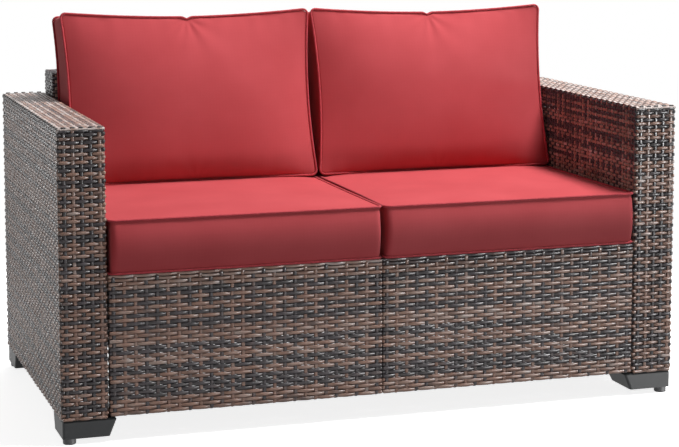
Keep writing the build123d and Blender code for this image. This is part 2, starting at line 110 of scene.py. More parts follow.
def background_rays(tree):
    """One where a ray comes from the camera, a mirror or glass, which all show a white studio."""
    ray = add_node(tree, "LightPath")
    mirror = add_node(tree, "Math", {
        0: ray.outputs["Is Glossy Ray"], 1: ray.outputs["Is Transmission Ray"]}, operation="MAXIMUM")
    seen = add_node(tree, "Math", {
        0: ray.outputs["Is Camera Ray"], 1: mirror.outputs[0]}, operation="MAXIMUM")
    return seen.outputs[0]


scene.view_settings.view_transform = "Standard"
white, room_level = (1, 1, 1, 1), 0.07
world = bpy.data.worlds.new("studio_air")
world.use_nodes = True
scene.world = world
air = world.node_tree
air.nodes.clear()
room = add_node(air, "Background", {"Color": white, "Strength": room_level})
backdrop = add_node(air, "Background", {"Color": white, "Strength": 1.0})
either = add_node(air, "MixShader", {0: background_rays(air), 1: room.outputs[0], 2: backdrop.outputs[0]})
add_node(air, "OutputWorld", {"Surface": either.outputs[0]})

# Matt white board. Near the loveseat it keeps the shadow, lifted to the level of the background,
# and further out it fades into it; to the loveseat it is a darker board, which throws less light.
floor_half, glow_level, fade_start, fade_end = 30.0, 0.84, 0.9, 1.9
floor_mesh = bpy.data.meshes.new("studio_floor")
floor_corners = [(x * floor_half, y * floor_half, 0) for x, y in ((-1, -1), (1, -1), (1, 1), (-1, 1))]
floor_mesh.from_pydata(floor_corners, [], [(0, 1, 2, 3)])
floor = bpy.data.objects.new("studio_floor", floor_mesh)
scene.collection.objects.link(floor)
board = bpy.data.materials.new("matt_white_board")
board.use_nodes = True
tree = board.node_tree
tree.nodes.clear()
bounce = add_node(tree, "BsdfDiffuse", {"Color": linear("5C5C5C")})
paint = add_node(tree, "BsdfDiffuse", {"Color": linear("F0F0F0")})
glow = add_node(tree, "Emission", {"Color": white, "Strength": glow_level})
lifted = add_node(tree, "AddShader", {0: paint.outputs[0], 1: glow.outputs[0]})
spot = add_node(tree, "TexCoord")
reach = add_node(tree, "VectorMath", {0: spot.outputs["Object"]}, operation="LENGTH")
fade = add_node(tree, "MapRange", {
    "Value": reach.outputs["Value"], "From Min": fade_start, "From Max": fade_end}, interpolation_type="SMOOTHSTEP")
sweep = add_node(tree, "Emission", {"Color": white, "Strength": 1.0})
faded = add_node(tree, "MixShader", {0: fade.outputs[0], 1: lifted.outputs[0], 2: sweep.outputs[0]})
pick = add_node(tree, "MixShader", {0: background_rays(tree), 1: bounce.outputs[0], 2: faded.outputs[0]})
add_node(tree, "OutputMaterial", {"Surface": pick.outputs[0]})
floor_mesh.materials.append(board)
floor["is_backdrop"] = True

# Each lamp's name, place, what it points at, width and height in metres, and watts.
lamps = (
    ("overhead_softbox", (1.65, -0.4, 3.9), (0.0, -0.05, 0.4), (1.9, 1.2), 238),
    ("low_front_fill", (0.5, -2.7, 0.11), (0.0, -0.35, 0.3), (2.4, 0.14), 15),
    ("left_fill", (-3.0, -0.7, 1.2), (-0.6, 0.0, 0.4), (1.2, 1.0), 6),
    ("rear_fill", (0.6, 3.4, 1.7), (0.0, 0.3, 0.4), (2.0, 1.2), 42),
    ("front_right_strip", (2.35, -2.55, 0.42), (0.1, -0.2, 0.36), (1.8, 0.22), 220),
    ("left_strip", (-3.1, 1.5, 0.36), (-0.6, 0.0, 0.34), (1.1, 0.36), 40),
)
for name, place, target, (width, height), power in lamps:
    light = bpy.data.lights.new(name, "AREA")
    light.shape, light.size, light.size_y, light.energy = "RECTANGLE", width, height, power
    lamp = bpy.data.objects.new(name, light)
    lamp.visible_diffuse = "strip" not in name
    lamp.visible_glossy = "fill" not in name
    scene.collection.objects.link(lamp)
    facing = (Vector(target) - Vector(place)).to_track_quat("-Z", "Y")
    lamp.matrix_world = Matrix.Translation(place) @ facing.to_matrix().to_4x4()


# The arms. Each is a flat strand of resin wicker woven round and round over upright stakes that
# cross the arm's top, all on a welded frame. The strands are extruded polyethylene, dyed in the
# melt: brown ones and charcoal ones take turns in bands of a few rows.
def mm(value):
    """Millimetres, one or an array of them, as metres."""
    return np.asarray(value, float) / 1000 if np.ndim(value) else value / 1000


def surface(name, **values):
    """A new material whose Principled shader holds these plain values; gives it, its tree and shader."""
    material = bpy.data.materials.new(name)
    material.use_nodes = True
    shader = material.node_tree.nodes["Principled BSDF"]
    for socket, value in values.items():
        shader.inputs[socket.replace("_", " ")].default_value = value
    return material, material.node_tree, shader


# Extruded polyethylene wicker: satin, with fine streaks along the strand from the die, painted shade
# that darkens both edges of each strand where it meets its neighbours, and a soft white glint on
# every hump that faces the lamps. Each strand brings its own place along it in metres, place across
# it from -1 to 1, and tone from 0, charcoal, to 1, pale. The dye drifts over about 45 mm. The die's
# streaks, a tenth of a millimetre apart on the real strand, are drawn 0.6 mm apart.
drift_scale, streak_scale, streaks_across, streaks_along = 22.0, 1.6, 3.5, 60.0
wicker, tree, shader = surface("woven_polyethylene_wicker", Specular_IOR_Level=0.26)
strand_data = add_node(tree, "Attribute", attribute_name="strand")
parts = add_node(tree, "SeparateXYZ", {0: strand_data.outputs["Vector"]})
along, across, tone = parts.outputs[0], parts.outputs[1], parts.outputs[2]
patch_place = add_node(tree, "CombineXYZ", {0: along, 2: tone})
patch = add_node(tree, "TexNoise", {
    "Vector": patch_place.outputs[0], "Scale": drift_scale, "Detail": 2.0})
streak_across = add_node(tree, "Math", {0: across, 1: streaks_across}, operation="MULTIPLY")
streak_along = add_node(tree, "Math", {0: along, 1: streaks_along}, operation="MULTIPLY")
streak_place = add_node(tree, "CombineXYZ", {0: streak_along.outputs[0], 1: streak_across.outputs[0]})
streak = add_node(tree, "TexNoise", {
    "Vector": streak_place.outputs[0], "Scale": streak_scale, "Detail": 3.0, "Roughness": 0.65})
drift = add_node(tree, "MapRange", {
    "Value": patch.outputs["Fac"], "From Min": 0.3, "From Max": 0.7, "To Min": -0.2, "To Max": 0.2})
shifted = add_node(tree, "Math", {0: tone, 1: drift.outputs[0]}, operation="ADD")
dye = add_node(tree, "ValToRGB", {0: shifted.outputs[0]}, stops=(
    (0.0, "2C2A2E"), (0.28, "494449"), (0.5, "745F58"), (0.72, "A58070"), (0.9, "B59B90"), (1.0, "C8BBB6")))
paler = add_node(tree, "MapRange", {
    "Value": streak.outputs["Fac"], "From Min": 0.42, "From Max": 0.75, "To Min": 0.0, "To Max": 0.22})
streaked = add_node(tree, "Mix", {
    "Factor": paler.outputs[0], "A": dye.outputs[0], "B": linear("A8978D")}, data_type="RGBA")
# Painted shade: the colour darkens towards 1C1918 along both edges of each strand, where strands meet.
edge = add_node(tree, "Math", {0: across}, operation="ABSOLUTE")
painted_edge_shade = add_node(tree, "MapRange", {
    "Value": edge.outputs[0], "From Min": 0.62, "From Max": 1.0, "To Min": 0.0, "To Max": 0.55})
dye_and_painted_shade = add_node(tree, "Mix", {
    "Factor": painted_edge_shade.outputs[0], "A": streaked.outputs["Result"], "B": linear("1C1918")}, data_type="RGBA")
tree.links.new(dye_and_painted_shade.outputs["Result"], shader.inputs["Base Color"])
gloss = add_node(tree, "MapRange", {"Value": streak.outputs["Fac"], "To Min": 0.2, "To Max": 0.38})
tree.links.new(gloss.outputs[0], shader.inputs["Roughness"])
ridges = add_node(tree, "Bump", {"Height": streak.outputs["Fac"], "Strength": 0.5, "Distance": 0.0004})
tree.links.new(ridges.outputs[0], shader.inputs["Normal"])

# A strand's middle lies this deep in the skin and swings this far over and under what it crosses;
# its section is a flat ribbon with a domed top, given as shares of its width and as rises.
strand_depth, strand_swing, stake_swing = 2.0, 1.5, 0.45
section_across = np.array((-0.5, -0.25, 0.25, 0.5))
section_rise = np.array((-0.9, 0.42, 0.42, -0.9))
stake_width, top_width = 7.6, 8.0
hem_turn, arm_corner = 24.0, 8.0


def distances(line):
    """How far along a line of points each of them is."""
    return np.concatenate(((0,), np.cumsum(np.linalg.norm(np.diff(line, axis=0), axis=1))))


def unit(ways):
    """Rows of vectors, each at length one."""
    return ways / np.linalg.norm(ways, axis=1)[:, None]


def bent_path(corners, radius, closed=False):
    """Places every half millimetre along a line with rounded corners, and the way out at each: the
    outside is on the right of the line. Gives distances, places, ways out, and the corners' own."""
    steps = 8
    points, bends = [], []
    count = len(corners)
    for at, here in enumerate(np.asarray(corners, float)):
        if not closed and at in (0, count - 1):
            points.append(here)
            continue
        back, on = (np.asarray(corners[(at + step) % count], float) - here for step in (-1, 1))
        back, on = back / np.linalg.norm(back), on / np.linalg.norm(on)
        half = math.acos(np.clip(back @ on, -1, 1)) / 2
        middle = here + (back + on) / np.linalg.norm(back + on) * radius / math.sin(half)
        first, last = (here + way * radius / math.tan(half) - middle for way in (back, on))
        start, end = math.atan2(first[1], first[0]), math.atan2(last[1], last[0])
        turn = (end - start + math.pi) % (2 * math.pi) - math.pi
        bends.append((len(points), len(points) + steps))
        points += [middle + radius * np.array((math.cos(start + turn * t), math.sin(start + turn * t)))
                   for t in np.linspace(0, 1, steps + 1)]
    if closed:
        points.append(points[0])
    points = np.array(points)
    run = distances(points)
    in_bend = np.array((0.12, 0.5, 0.88))
    bend_places = np.concatenate([run[first] + (run[last] - run[first]) * in_bend for first, last in bends] or [[]])
    distance = np.linspace(0, run[-1], int(run[-1] * 2) + 2)
    place = np.stack([np.interp(distance, run, points[:, c]) for c in (0, 1)], 1)
    way = unit(np.gradient(place, axis=0))
    return distance, place, np.stack((way[:, 1], -way[:, 0]), 1), bend_places


def place_on(path, wanted):
    """The distances along a path of the places on it nearest to the wanted ones."""
    gaps = np.linalg.norm(path[1][None] - np.asarray(wanted, float)[:, None], axis=2)
    return path[0][gaps.argmin(1)]


def strand(path, axes, level, crossings, signs, swing, tone, width, between=3,
           closed=False, depth=strand_depth, tuck=0.0, tilt=0.0, dice=None):
    """One strand: the line of its middle, over and under what it crosses, with this many sections
    between two crossings. Signs say where it lies over (1) or under (-1); tuck sinks its ends, and
    tilt leans its way out along the third axis."""
    end_step, tuck_length, nearest, end_nearest = 4, 8, 0.8, 1.5
    bar_from, bar_fade, bar_lift = 13.5, 2.5, 0.5
    swing_spread, level_spread = 0.08, 0.14
    distance, place, out, bends = path
    total = distance[-1]
    order = np.argsort(crossings)
    crossings, signs = np.asarray(crossings, float)[order], np.asarray(signs, float)[order]
    shares = np.arange(between + 1) / (between + 1)
    if closed:
        knots = np.concatenate(((crossings[-1] - total,), crossings, (crossings[0] + total,)))
        heights = np.concatenate(((signs[-1],), signs, (signs[0],)))
        samples = np.concatenate([a + (b - a) * shares for a, b in zip(knots[1:-1], knots[2:])])
        samples = np.unique(np.round(np.concatenate((samples % total, bends)), 2))
    else:
        knots = np.concatenate(((-1e3,), crossings, (total + 1e3,)))
        heights = np.concatenate(((signs[0],), signs, (signs[-1],)))
        samples = np.concatenate(
            [a + (b - a) * shares for a, b in zip(crossings[:-1], crossings[1:])] + [crossings[-1:]])
        ends = (0, end_step, total - end_step, total)
        ends = np.array([end for end in ends if np.abs(samples - end).min() > end_nearest])
        samples = np.unique(np.round(np.concatenate((samples, ends, bends)), 2))
    samples = samples[np.concatenate(((True,), np.diff(samples) > nearest))]
    at = np.clip(np.searchsorted(knots, samples, side="right") - 1, 0, len(knots) - 2)
    share = (samples - knots[at]) / (knots[at + 1] - knots[at])
    wave = np.cos(math.pi * share)
    # Where stakes stand close the strand rolls over them; where they are far apart it lies as a bar.
    bar = np.clip((knots[at + 1] - knots[at] - bar_from) / bar_fade, 0, 1)
    rolled = heights[at] * np.sign(wave) * np.abs(wave) ** (1.1 - 0.65 * bar) + bar_lift * bar * (1 - wave ** 2)
    lift = np.where(heights[at] * heights[at + 1] < 0, rolled, heights[at])
    flat = np.stack([np.interp(samples, distance, place[:, c]) for c in (0, 1)], 1)
    facing = unit(np.stack([np.interp(samples, distance, out[:, c]) for c in (0, 1)], 1))
    first, second, third = (np.asarray(a, float) for a in axes)
    way_out = facing[:, :1] * first + facing[:, 1:] * second
    way_out = way_out * math.cos(tilt) + third * math.sin(tilt)
    sink = np.full(len(samples), depth, float)
    if tuck:
        sink += tuck * np.clip(1 - np.minimum(samples, total - samples) / tuck_length, 0, 1)
    wobble = dice.normal(0, 1, (len(samples), 2)) if dice is not None else np.zeros((len(samples), 2))
    lift = lift * swing * (1 + swing_spread * wobble[:, 0]) - sink
    rise = third * (level + level_spread * wobble[:, 1:])
    middle = flat[:, :1] * first + flat[:, 1:] * second + rise + way_out * lift[:, None]
    return {"middle": middle, "out": way_out, "along": samples, "tone": tone, "width": width, "closed": closed}


def woven_row(path, axes, level, places, first, tone, width, dice, swing=strand_swing, **how):
    """A strand over and under the stakes at these places in turn: over the first one if it is even."""
    signs = (-1.0) ** (first + np.arange(len(places)))
    return strand(path, axes, level, places, signs, swing, tone, width, dice=dice, **how)


def stake(path, axes, level, runs, tone, dice):
    """A stake under and over the rows. Each of its runs is the rows' places and the stake's number
    there, which says where it starts."""
    tuck = 2.0
    signs = np.concatenate([-(-1.0) ** (number + np.arange(len(places))) for places, number in runs])
    places = np.concatenate([places for places, number in runs])
    return strand(path, axes, level, places, signs, stake_swing, tone, stake_width, 0, tuck=tuck, dice=dice)


def rows_round(low, high, corner, x_places, y_places, levels, tones, width, dice, **how):
    """Rows that go round and round a box. The stakes that they cross stand at these places on its
    front and rear and on its sides, and are numbered from the front left, by the right and rear."""
    loop = bent_path(((low[0], low[1]), (high[0], low[1]), (high[0], high[1]), (low[0], high[1])), corner, True)
    met = [(x, low[1]) for x in x_places] + [(high[0], y) for y in y_places]
    met += [(x, high[1]) for x in x_places[::-1]] + [(low[0], y) for y in y_places[::-1]]
    crossings = place_on(loop, met)
    return [woven_row(loop, level_plane, level, crossings, number, tone, width, dice, closed=True, **how)
            for number, (level, tone) in enumerate(zip(levels, tones))]


def hoop(low, high, bottom, top):
    """The way of a stake up one face, over the top and down the other, turned in at the bottom."""
    half = ((high - hem_turn, bottom), (high, bottom), (high, top))
    return bent_path((*half, (low, top), (low, bottom), (low + hem_turn, bottom)), arm_corner)


def one_face(face, faces, bottom, top, turn=hem_turn, corner=arm_corner):
    """The way of a stake that stands on one face only, turned in at the bottom."""
    corners = ((face - faces * turn, bottom), (face, bottom), (face, top))
    return bent_path(corners[::-1] if faces < 0 else corners, corner)


def saddle(low, high, top, drop, corner):
    """The way of a strand that lies along the top and turns down over both ends."""
    return bent_path(((high, top - drop), (high, top), (low, top), (low, top - drop)), corner)


def smooth_piece(name, spots, quads, material):
    """An object from points in millimetres and quads of their numbers, shaded smooth."""
    mesh = bpy.data.meshes.new(name)
    mesh.vertices.add(len(spots))
    mesh.vertices.foreach_set("co", mm(spots).ravel().astype(np.float32))
    mesh.loops.add(len(quads) * 4)
    mesh.loops.foreach_set("vertex_index", quads.ravel().astype(np.int32))
    mesh.polygons.add(len(quads))
    mesh.polygons.foreach_set("loop_start", np.arange(0, len(quads) * 4, 4, dtype=np.int32))
    mesh.update(calc_edges=True)
    mesh.validate()
    mesh.polygons.foreach_set("use_smooth", np.ones(len(mesh.polygons), bool))
    mesh.materials.append(material)
    piece = bpy.data.objects.new(name, mesh)
    scene.collection.objects.link(piece)
    return piece


def woven_piece(name, strands, dice):
    """Flat, slightly domed ribbons along the strands, as one mesh, with each one's own place along,
    place across and tone for the material."""
    dye_run = 40
    spots, quads, notes, base = [], [], [], 0
    for one in strands:
        middle, out, closed = one["middle"], one["out"], one["closed"]
        count = len(middle)
        way = unit(np.roll(middle, -1, 0) - np.roll(middle, 1, 0) if closed else np.gradient(middle, axis=0))
        side_way = unit(np.cross(way, out))
        rise = np.cross(side_way, way)
        ring = middle[:, None] + side_way[:, None] * (section_across * one["width"])[None, :, None]
        ring = ring + rise[:, None] * section_rise[None, :, None]
        spots.append(ring.reshape(-1, 3))
        note = np.empty((count, 4, 3))
        note[:, :, 0] = (one["along"] / 1000 + dice.uniform(0, dye_run))[:, None]
        note[:, :, 1] = section_across * 2
        note[:, :, 2] = one["tone"]
        notes.append(note.reshape(-1, 3))
        rows = np.arange(count if closed else count - 1)[:, None]
        here, there = base + rows * 4, base + (rows + 1) % count * 4
        corner, turned = np.arange(4)[None], (np.arange(4)[None] + 1) % 4
        quads.append(np.stack((here + corner, there + corner, there + turned, here + turned), 2).reshape(-1, 4))
        if not closed:
            quads.append(base + np.array(((0, 1, 2, 3), count * 4 - 1 - np.arange(4))))
        base += count * 4
    piece = smooth_piece(name, np.concatenate(spots), np.concatenate(quads), wicker)
    own = piece.data.attributes.new("strand", "FLOAT_VECTOR", "POINT")
    own.data.foreach_set("vector", np.concatenate(notes).ravel().astype(np.float32))
    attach(piece, "seat_frame")
    return piece


# The planes that the strands are drawn in: two ways along it, and the one that leads to the next
# strand. Rows lie in level planes, and stakes in planes across the loveseat or from front to rear.
x_way, y_way, z_way = (1, 0, 0), (0, 1, 0), (0, 0, 1)
level_plane, cross_plane, fore_plane = (x_way, y_way, z_way), (x_way, z_way, y_way), (y_way, z_way, x_way)
brown, charcoal = 0.72, 0.16
tone_spread, tone_limits = 0.05, (0.02, 0.95)


def band_tones(count, runs, dice):
    """A tone for each row: runs of brown and charcoal rows take turns, and no two rows are alike."""
    tones = []
    for at in range(count):
        tones += [(brown, charcoal)[at % 2]] * runs[at % len(runs)]
    return np.clip(np.array(tones[:count]) + dice.normal(0, tone_spread, count), *tone_limits)


def edge_strand(x, y, way, level, reach, end, **how):
    """A short straight strand along the front or rear edge of an arm, to either side of x."""
    path = bent_path([(x - reach * way, y), (x + reach * way, y)], 1.0)
    return strand(path, level_plane, level, (end, 2 * reach - end), (1, 1), **how)


# Millimetres, and tones. Face stakes stand at the arm's front and rear. A pale strand binds each of
# these edges, and the face stakes' dark tips show above it; both lean up and out.
sides = (("left", -1), ("right", 1))
arm_rows, row_pitch, arm_row_width, arm_row_swing, arm_row_depth = 75, 7.34, 7.15, 2.0, 2.5
arm_runs = (2, 2, 3, 1, 1, 2, 4, 2, 2, 1, 5, 1, 3, 2)
under_edge = (0.6, charcoal, charcoal)
face_stakes, face_tones = np.array((-33, -16, 0, 17, 34)), (0.12, 0.74, 0.1, 0.14, 0.7)
side_pitch, side_count, side_first = 13.0, 52, 10.5
side_brown, side_dark, brown_share = 0.74, 0.3, 0.45
below_top = 5
top_pitch, top_count, top_swing, top_depth, top_drop, top_tuck = 8.0, 11, 0.9, 1.5, 12, 3.0
top_tones, top_spread = (1.0, 0.6, 0.98, 0.5, 0.94, 0.45, 0.8, 1.0, 0.5, 0.96, 0.6), 0.04
edge_back, edge_below, tip_back, tip_below = 1.2, 4.3, 2.6, 1.3
edge_binding = {"reach": 44, "end": 2.0, "swing": 0.2, "tone": 1.0, "width": 5.2, "between": 16,
                "depth": -0.5, "tuck": 1.5, "tilt": math.radians(18)}
stake_tip = {"reach": 5.2, "end": 1.0, "swing": 0.4, "tone": 0.0, "width": 3.2, "between": 2,
             "depth": -0.8, "tilt": math.radians(40)}
for side, sign in sides:
    dice = np.random.default_rng(11 if sign < 0 else 12)
    low, high = (np.array(c) * 1000 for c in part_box(f"{side}_arm_wicker"))
    centre = (low[0] + high[0]) / 2
    face_x, side_y = centre + face_stakes, low[1] + side_first + side_pitch * np.arange(side_count)
    levels = low[2] + row_pitch / 2 + row_pitch * np.arange(arm_rows)
    tones = band_tones(arm_rows, arm_runs, dice)
    tones[-len(under_edge):] = under_edge
    rows = rows_round(low, high, arm_corner, face_x, side_y, levels, tones, arm_row_width, dice,
                      swing=arm_row_swing, depth=arm_row_depth)
    weave_low = woven_piece(f"{side}_arm_weave_low", rows[:arm_rows // 2], dice)
    weave_high = woven_piece(f"{side}_arm_weave_high", rows[arm_rows // 2:], dice)

    # The stakes: the side ones go up one side, over the top and down the other, and turn in under
    # the bottom tube; the front and rear ones stop under the top edge.
    top_x = centre + top_pitch * (np.arange(top_count) - (top_count - 1) / 2)
    over = hoop(low[0], high[0], low[2], high[2])
    left_rows, right_rows = (place_on(over, [(x, z) for z in levels]) for x in (low[0], high[0]))
    top_rows = place_on(over, [(x, high[2]) for x in top_x])
    all_round = 2 * (side_count + len(face_stakes))
    stakes = []
    for k, y in enumerate(side_y):
        runs = ((left_rows, all_round - 1 - k), (right_rows, len(face_stakes) + k), (top_rows, k + 1))
        light = side_brown if dice.random() < brown_share else side_dark
        stakes.append(stake(over, cross_plane, y, runs, light + dice.normal(0, tone_spread), dice))
    for y_face, faces in ((low[1], -1), (high[1], 1)):
        path = one_face(y_face, faces, low[2], high[2] - below_top)
        places = place_on(path, [(y_face, z) for z in levels])
        for n, x in enumerate(face_x):
            number = n if faces < 0 else all_round - side_count - 1 - n
            stakes.append(stake(path, fore_plane, x, ((places, number),), face_tones[n], dice))
    uprights = woven_piece(f"{side}_arm_stakes", stakes, dice)

    # The top: strands from front to rear over and under the stakes, turned down over both edges.
    along_top = saddle(low[1], high[1], high[2], top_drop, arm_corner)
    bend_middle = arm_corner * 0.3
    bends = [(y, high[2] - bend_middle) for y in (low[1] + bend_middle, high[1] - bend_middle)]
    places = place_on(along_top, [bends[0], *((y, high[2]) for y in side_y), bends[1]])
    tops = []
    for t, x in enumerate(top_x):
        signs = np.concatenate(((-1,), (-1.0) ** (t + np.arange(side_count)), (-1,)))
        light = top_tones[t] - top_spread * dice.random()
        tops.append(strand(along_top, fore_plane, x, places, signs, top_swing, light, top_width,
                           depth=top_depth, tuck=top_tuck, dice=dice))
    for face, way in ((low[1], 1), (high[1], -1)):
        tops.append(edge_strand(centre, face + edge_back * way, way, high[2] - edge_below, **edge_binding))
        tops += [edge_strand(x, face + tip_back * way, way, high[2] - tip_below, **stake_tip) for x in face_x]
    cap = woven_piece(f"{side}_arm_top", tops, dice)
    for piece in (weave_low, weave_high, uprights, cap):
        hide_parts(f"{side}_arm_wicker")


# The seat modules. The apron's rows go round the module's front corners, and its stakes run on
# over the rail to weave the deck that the cushions lie on. Two more rows, which lie over and under
# together, bind the top of the apron: pale on the left module and dark on the right one.
apron_pitch, apron_rows, apron_top_row, apron_row_width = 7.75, 33, 301.0, 7.95
apron_runs = (2, 2, 1, 1, 2, 1, 1, 2, 4, 2, 3, 2, 2, 4, 4)
apron_return, return_stake, return_turn, module_corner = 26.0, 14.0, 8, 5.0
band_levels, band_width, band_tone = (315.3, 308.4), 6.6, {"left": 0.84, "right": 0.3}
seat_stake_pitch, seat_stake_first, seat_stakes = 20.85, 9.7, 26
pale_stakes = (1, 2, 5, 6, 8, 11, 12, 15, 18, 19, 22, 24)
stake_brown, stake_dark, stake_spread = 0.72, 0.28, 0.04
deck_pitch, deck_first, deck_last, deck_runs = 7.8, 9.0, 3, (2, 3, 4, 2)
row_tuck = 2.0
# The modules are bolted hard together, so their weaves are pressed into each other this far.
joint_press = 0.7


def apron_runs_met(path, face, levels, number):
    """Where a stake on this face meets the apron's rows and its two band rows, with its numbers."""
    groups = ((levels, number), (band_levels[:1], number + 1), (band_levels[1:], number + 1))
    return [(place_on(path, [(face, z) for z in group]), first) for group, first in groups]


for side, sign in sides:
    dice = np.random.default_rng(21 if sign < 0 else 22)
    low, high = (np.array(c) * 1000 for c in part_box(f"{side}_seat_wicker"))
    (high if sign < 0 else low)[0] -= sign * joint_press
    stake_x = low[0] + seat_stake_first + seat_stake_pitch * np.arange(seat_stakes)
    wrap = bent_path(((low[0], low[1] + apron_return), (low[0], low[1]), (high[0], low[1]),
                      (high[0], low[1] + apron_return)), module_corner)
    returns = [(x, low[1] + return_stake) for x in (low[0], high[0])]
    places = place_on(wrap, [returns[0], *((x, low[1]) for x in stake_x), returns[1]])
    levels = apron_top_row - apron_pitch * np.arange(apron_rows)
    tones = band_tones(apron_rows, apron_runs, dice)
    rows = [woven_row(wrap, level_plane, level, places, number - 1, tones[number], apron_row_width, dice,
                      tuck=row_tuck) for number, level in enumerate(levels)]
    rows += [woven_row(wrap, level_plane, level, places, 0, band_tone[side], band_width, dice, tuck=row_tuck)
             for level in band_levels]
    apron = woven_piece(f"{side}_apron_weave", rows, dice)

    # The stakes run from under the bottom tube up the apron, over the rail and back along the deck;
    # one more stands on each side of the module, just round its front corner.
    run = bent_path(((high[1], high[2] - hem_turn), (high[1], high[2]), (low[1], high[2]), (low[1], low[2]),
                     (low[1] + hem_turn, low[2])), arm_corner)
    deck_y = np.arange(low[1] + deck_first, high[1] - deck_last, deck_pitch)
    deck_rows = place_on(run, [(y, high[2]) for y in deck_y])
    stakes = []
    for k, x in enumerate(stake_x):
        runs = (*apron_runs_met(run, low[1], levels, k), (deck_rows, k))
        light = stake_brown if k in pale_stakes else stake_dark
        stakes.append(stake(run, fore_plane, x, runs, light + dice.normal(0, stake_spread), dice))
    for number, x_face, faces in ((-1, low[0], -1), (seat_stakes, high[0], 1)):
        path = one_face(x_face, faces, low[2], high[2] - return_turn, return_turn, module_corner)
        runs = apron_runs_met(path, x_face, levels, number)
        stakes.append(stake(path, cross_plane, low[1] + return_stake, runs, stake_dark, dice))
    seat_uprights = woven_piece(f"{side}_seat_stakes", stakes, dice)

    # The deck's rows lie from side to side and turn down over the side rails.
    over = saddle(low[0], high[0], high[2], hem_turn, module_corner)
    places = place_on(over, [(x, high[2]) for x in stake_x])
    tones = band_tones(len(deck_y), deck_runs, dice)
    rows = [woven_row(over, cross_plane, y, places, number, tones[number], apron_row_width, dice, tuck=row_tuck)
            for number, y in enumerate(deck_y)]
    deck = woven_piece(f"{side}_deck_weave", rows, dice)
    for piece in (apron, seat_uprights, deck):
        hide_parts(f"{side}_seat_wicker")


# The back panels. Each is woven round and round like an arm, with its stakes over the top from
# front to rear, and stands behind the cushions, a little above the arms. Its top rows and the
# strands along its ridge are dark.
back_rows, back_row_width, dark_rows, dark_tone = 82, 7.5, 6, 0.2
back_runs = arm_runs[5:] + arm_runs[:5]
end_stakes, end_tone = np.array((-33, -16.5, 0, 16.5, 33)), 0.3
back_brown, back_dark, back_brown_share = 0.75, 0.28, 0.4
ridge_pitch, ridge_count, ridge_drop, ridge_dark, ridge_spread = 8.0, 12, 14, 0.22, 0.1
for side, sign in sides:
    dice = np.random.default_rng(31 if sign < 0 else 32)
    low, high = (np.array(c) * 1000 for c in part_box(f"{side}_back_wicker"))
    (high if sign < 0 else low)[0] -= sign * joint_press
    middle_y = (low[1] + high[1]) / 2
    stake_x = low[0] + seat_stake_first + seat_stake_pitch * np.arange(seat_stakes)
    end_y = middle_y + end_stakes
    levels = low[2] + row_pitch / 2 + row_pitch * np.arange(back_rows)
    tones = band_tones(back_rows, back_runs, dice)
    tones[-dark_rows:] = dark_tone
    rows = rows_round(low, high, module_corner, stake_x, end_y, levels, tones, back_row_width, dice)
    weave = woven_piece(f"{side}_back_weave", rows, dice)

    over = hoop(low[1], high[1], low[2], high[2])
    ridge_y = middle_y + ridge_pitch * (np.arange(ridge_count) - (ridge_count - 1) / 2)
    front_rows, rear_rows = (place_on(over, [(y, z) for z in levels]) for y in (low[1], high[1]))
    ridge_rows = place_on(over, [(y, high[2]) for y in ridge_y])
    half_round = seat_stakes + len(end_stakes)
    stakes = []
    for k, x in enumerate(stake_x):
        runs = ((front_rows, k), (rear_rows, half_round + seat_stakes - 1 - k), (ridge_rows, k))
        light = back_brown if dice.random() < back_brown_share else back_dark
        stakes.append(stake(over, fore_plane, x, runs, light + dice.normal(0, tone_spread), dice))
    for x_face, faces in ((low[0], -1), (high[0], 1)):
        path = one_face(x_face, faces, low[2], high[2] - below_top)
        places = place_on(path, [(x_face, z) for z in levels])
        for n, y in enumerate(end_y):
            number = seat_stakes + n if faces > 0 else 2 * half_round - 1 - n
            stakes.append(stake(path, cross_plane, y, ((places, number),), end_tone, dice))
    uprights = woven_piece(f"{side}_back_stakes", stakes, dice)

    ridge = saddle(low[0], high[0], high[2], ridge_drop, arm_corner)
    places = place_on(ridge, [(x, high[2]) for x in stake_x])
    tops = [woven_row(ridge, cross_plane, y, places, t, ridge_dark + ridge_spread * dice.random(),
                      top_width, dice, tuck=top_tuck) for t, y in enumerate(ridge_y)]
    cap = woven_piece(f"{side}_back_top", tops, dice)
    for piece in (weave, uprights, cap):
        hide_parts(f"{side}_back_wicker")


def speckle(tree, shader, per_metre, detail, stops, strength=0.0, height=0.0, clouds=0.0):
    """Colours a surface by a fine noise of this many specks to the metre, and gives that noise.
    With a strength the specks stand up by this height; with clouds a coarse noise dims them."""
    place = add_node(tree, "TexCoord").outputs["Object"]
    specks = add_node(tree, "TexNoise", {
        "Vector": place, "Scale": per_metre, "Detail": detail}).outputs["Fac"]
    shade = specks
    if clouds:
        cloud = add_node(tree, "TexNoise", {"Vector": place, "Scale": clouds, "Detail": 2.0})
        shade = add_node(tree, "Math", {
            0: specks, 1: cloud.outputs["Fac"]}, operation="MULTIPLY").outputs[0]
    tint = add_node(tree, "ValToRGB", {0: shade}, stops=stops)
    tree.links.new(tint.outputs[0], shader.inputs["Base Color"])
    if strength:
        relief = add_node(tree, "Bump", {"Height": specks, "Strength": strength, "Distance": height})
        tree.links.new(relief.outputs[0], shader.inputs["Normal"])
    return specks


def dress(name, material):
    """A CAD node that stays takes a material in place of its own."""
    mesh = nodes[name].data
    if not mesh.materials:
        mesh.materials.append(material)
    for held in nodes[name].material_slots:
        held.material = material


# Baked polyester powder: satin and dark, with a faint orange peel that breaks up its highlights.
coated_steel, tree, shader = surface("powder_coated_steel_tube", Metallic=0.0, Roughness=0.42)
speckle(tree, shader, 700.0, 2.0, ((0.3, "28221F"), (0.7, "37302C")), 0.15, 0.0003)
for side, sign in sides:
    for module in ("arm", "seat", "back"):
        dress(f"{side}_{module}_frame", coated_steel)


# The feet, glides and fasteners. Corner feet are moulded in glass-filled polypropylene, and stand
# on round nylon glides with threaded studs; bolts, washers and inserts join the frames.

